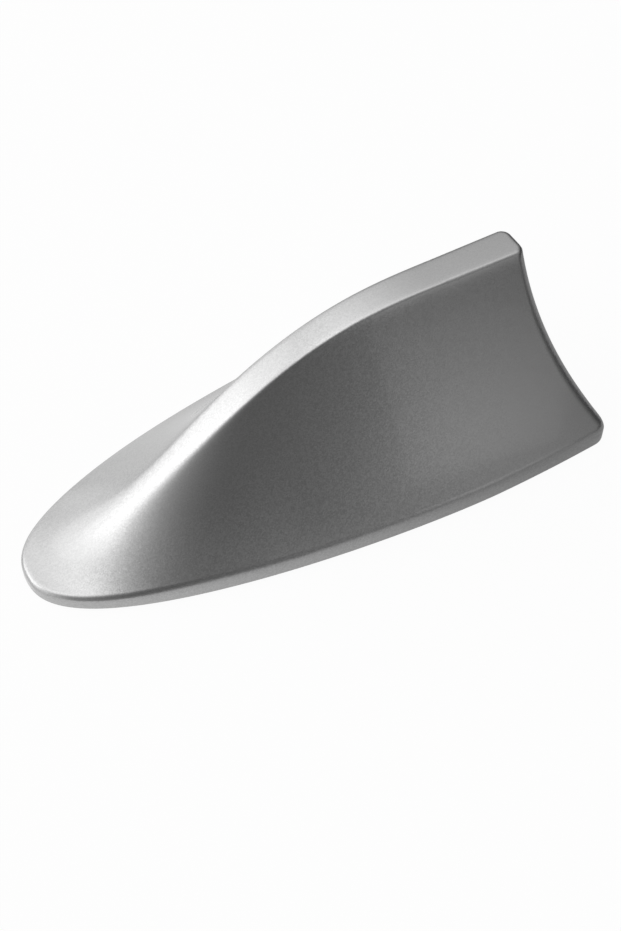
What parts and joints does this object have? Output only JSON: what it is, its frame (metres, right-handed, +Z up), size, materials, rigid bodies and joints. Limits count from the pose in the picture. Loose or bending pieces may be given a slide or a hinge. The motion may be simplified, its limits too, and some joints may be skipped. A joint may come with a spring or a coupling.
{
  "type": "shark fin aerial",
  "caption": "Stick-on shark fin roof aerial: hollow fin cover with flat ridge and flared lip over a taped base, with boards and radiator inside.",
  "frame": {"origin": "middle of the footprint on the roof, under the tape", "axes": "+X from the nose to the tail, +Z up off the roof, +Y to the fin's left side"},
  "size_m": [0.176, 0.0796, 0.0588],
  "materials": {
    "silver_paint": "metallic paint under clear coat",
    "black_plastic": "moulded, fine grain",
    "seal_foam": "closed-cell foam",
    "tape_foam": "acrylic foam tape",
    "zinc_screw": "zinc plated",
    "green_board": "solder mask",
    "copper_trace": "bare rolled copper",
    "ferrite": "sintered",
    "copper_wire": "enamelled wire",
    "tinplate": "bright tin",
    "chip_resin": "moulded resin",
    "ceramic": "fired ceramic",
    "capacitor_can": "drawn aluminium",
    "header_resin": "moulded",
    "tinned_brass": "tinned",
    "grommet_rubber": "moulded rubber"
  },
  "bodies": {
    "root": {"fin_cover": "silver_paint", "base_plate": "black_plastic", "seal_gasket": "seal_foam", "adhesive_pad": "tape_foam", "cover_screws": "zinc_screw", "main_board": "green_board", "board_screws": "zinc_screw", "radiator_board": "green_board", "radiator_trace": "copper_trace", "choke_core": "ferrite", "choke_winding": "copper_wire", "shield_can": "tinplate", "amplifier_chip": "chip_resin", "chip_capacitors": "ceramic", "supply_capacitor": "capacitor_can", "header_shell": "header_resin", "header_pins": "tinned_brass", "lead_grommet": "grommet_rubber"}
  },
  "joints": []
}
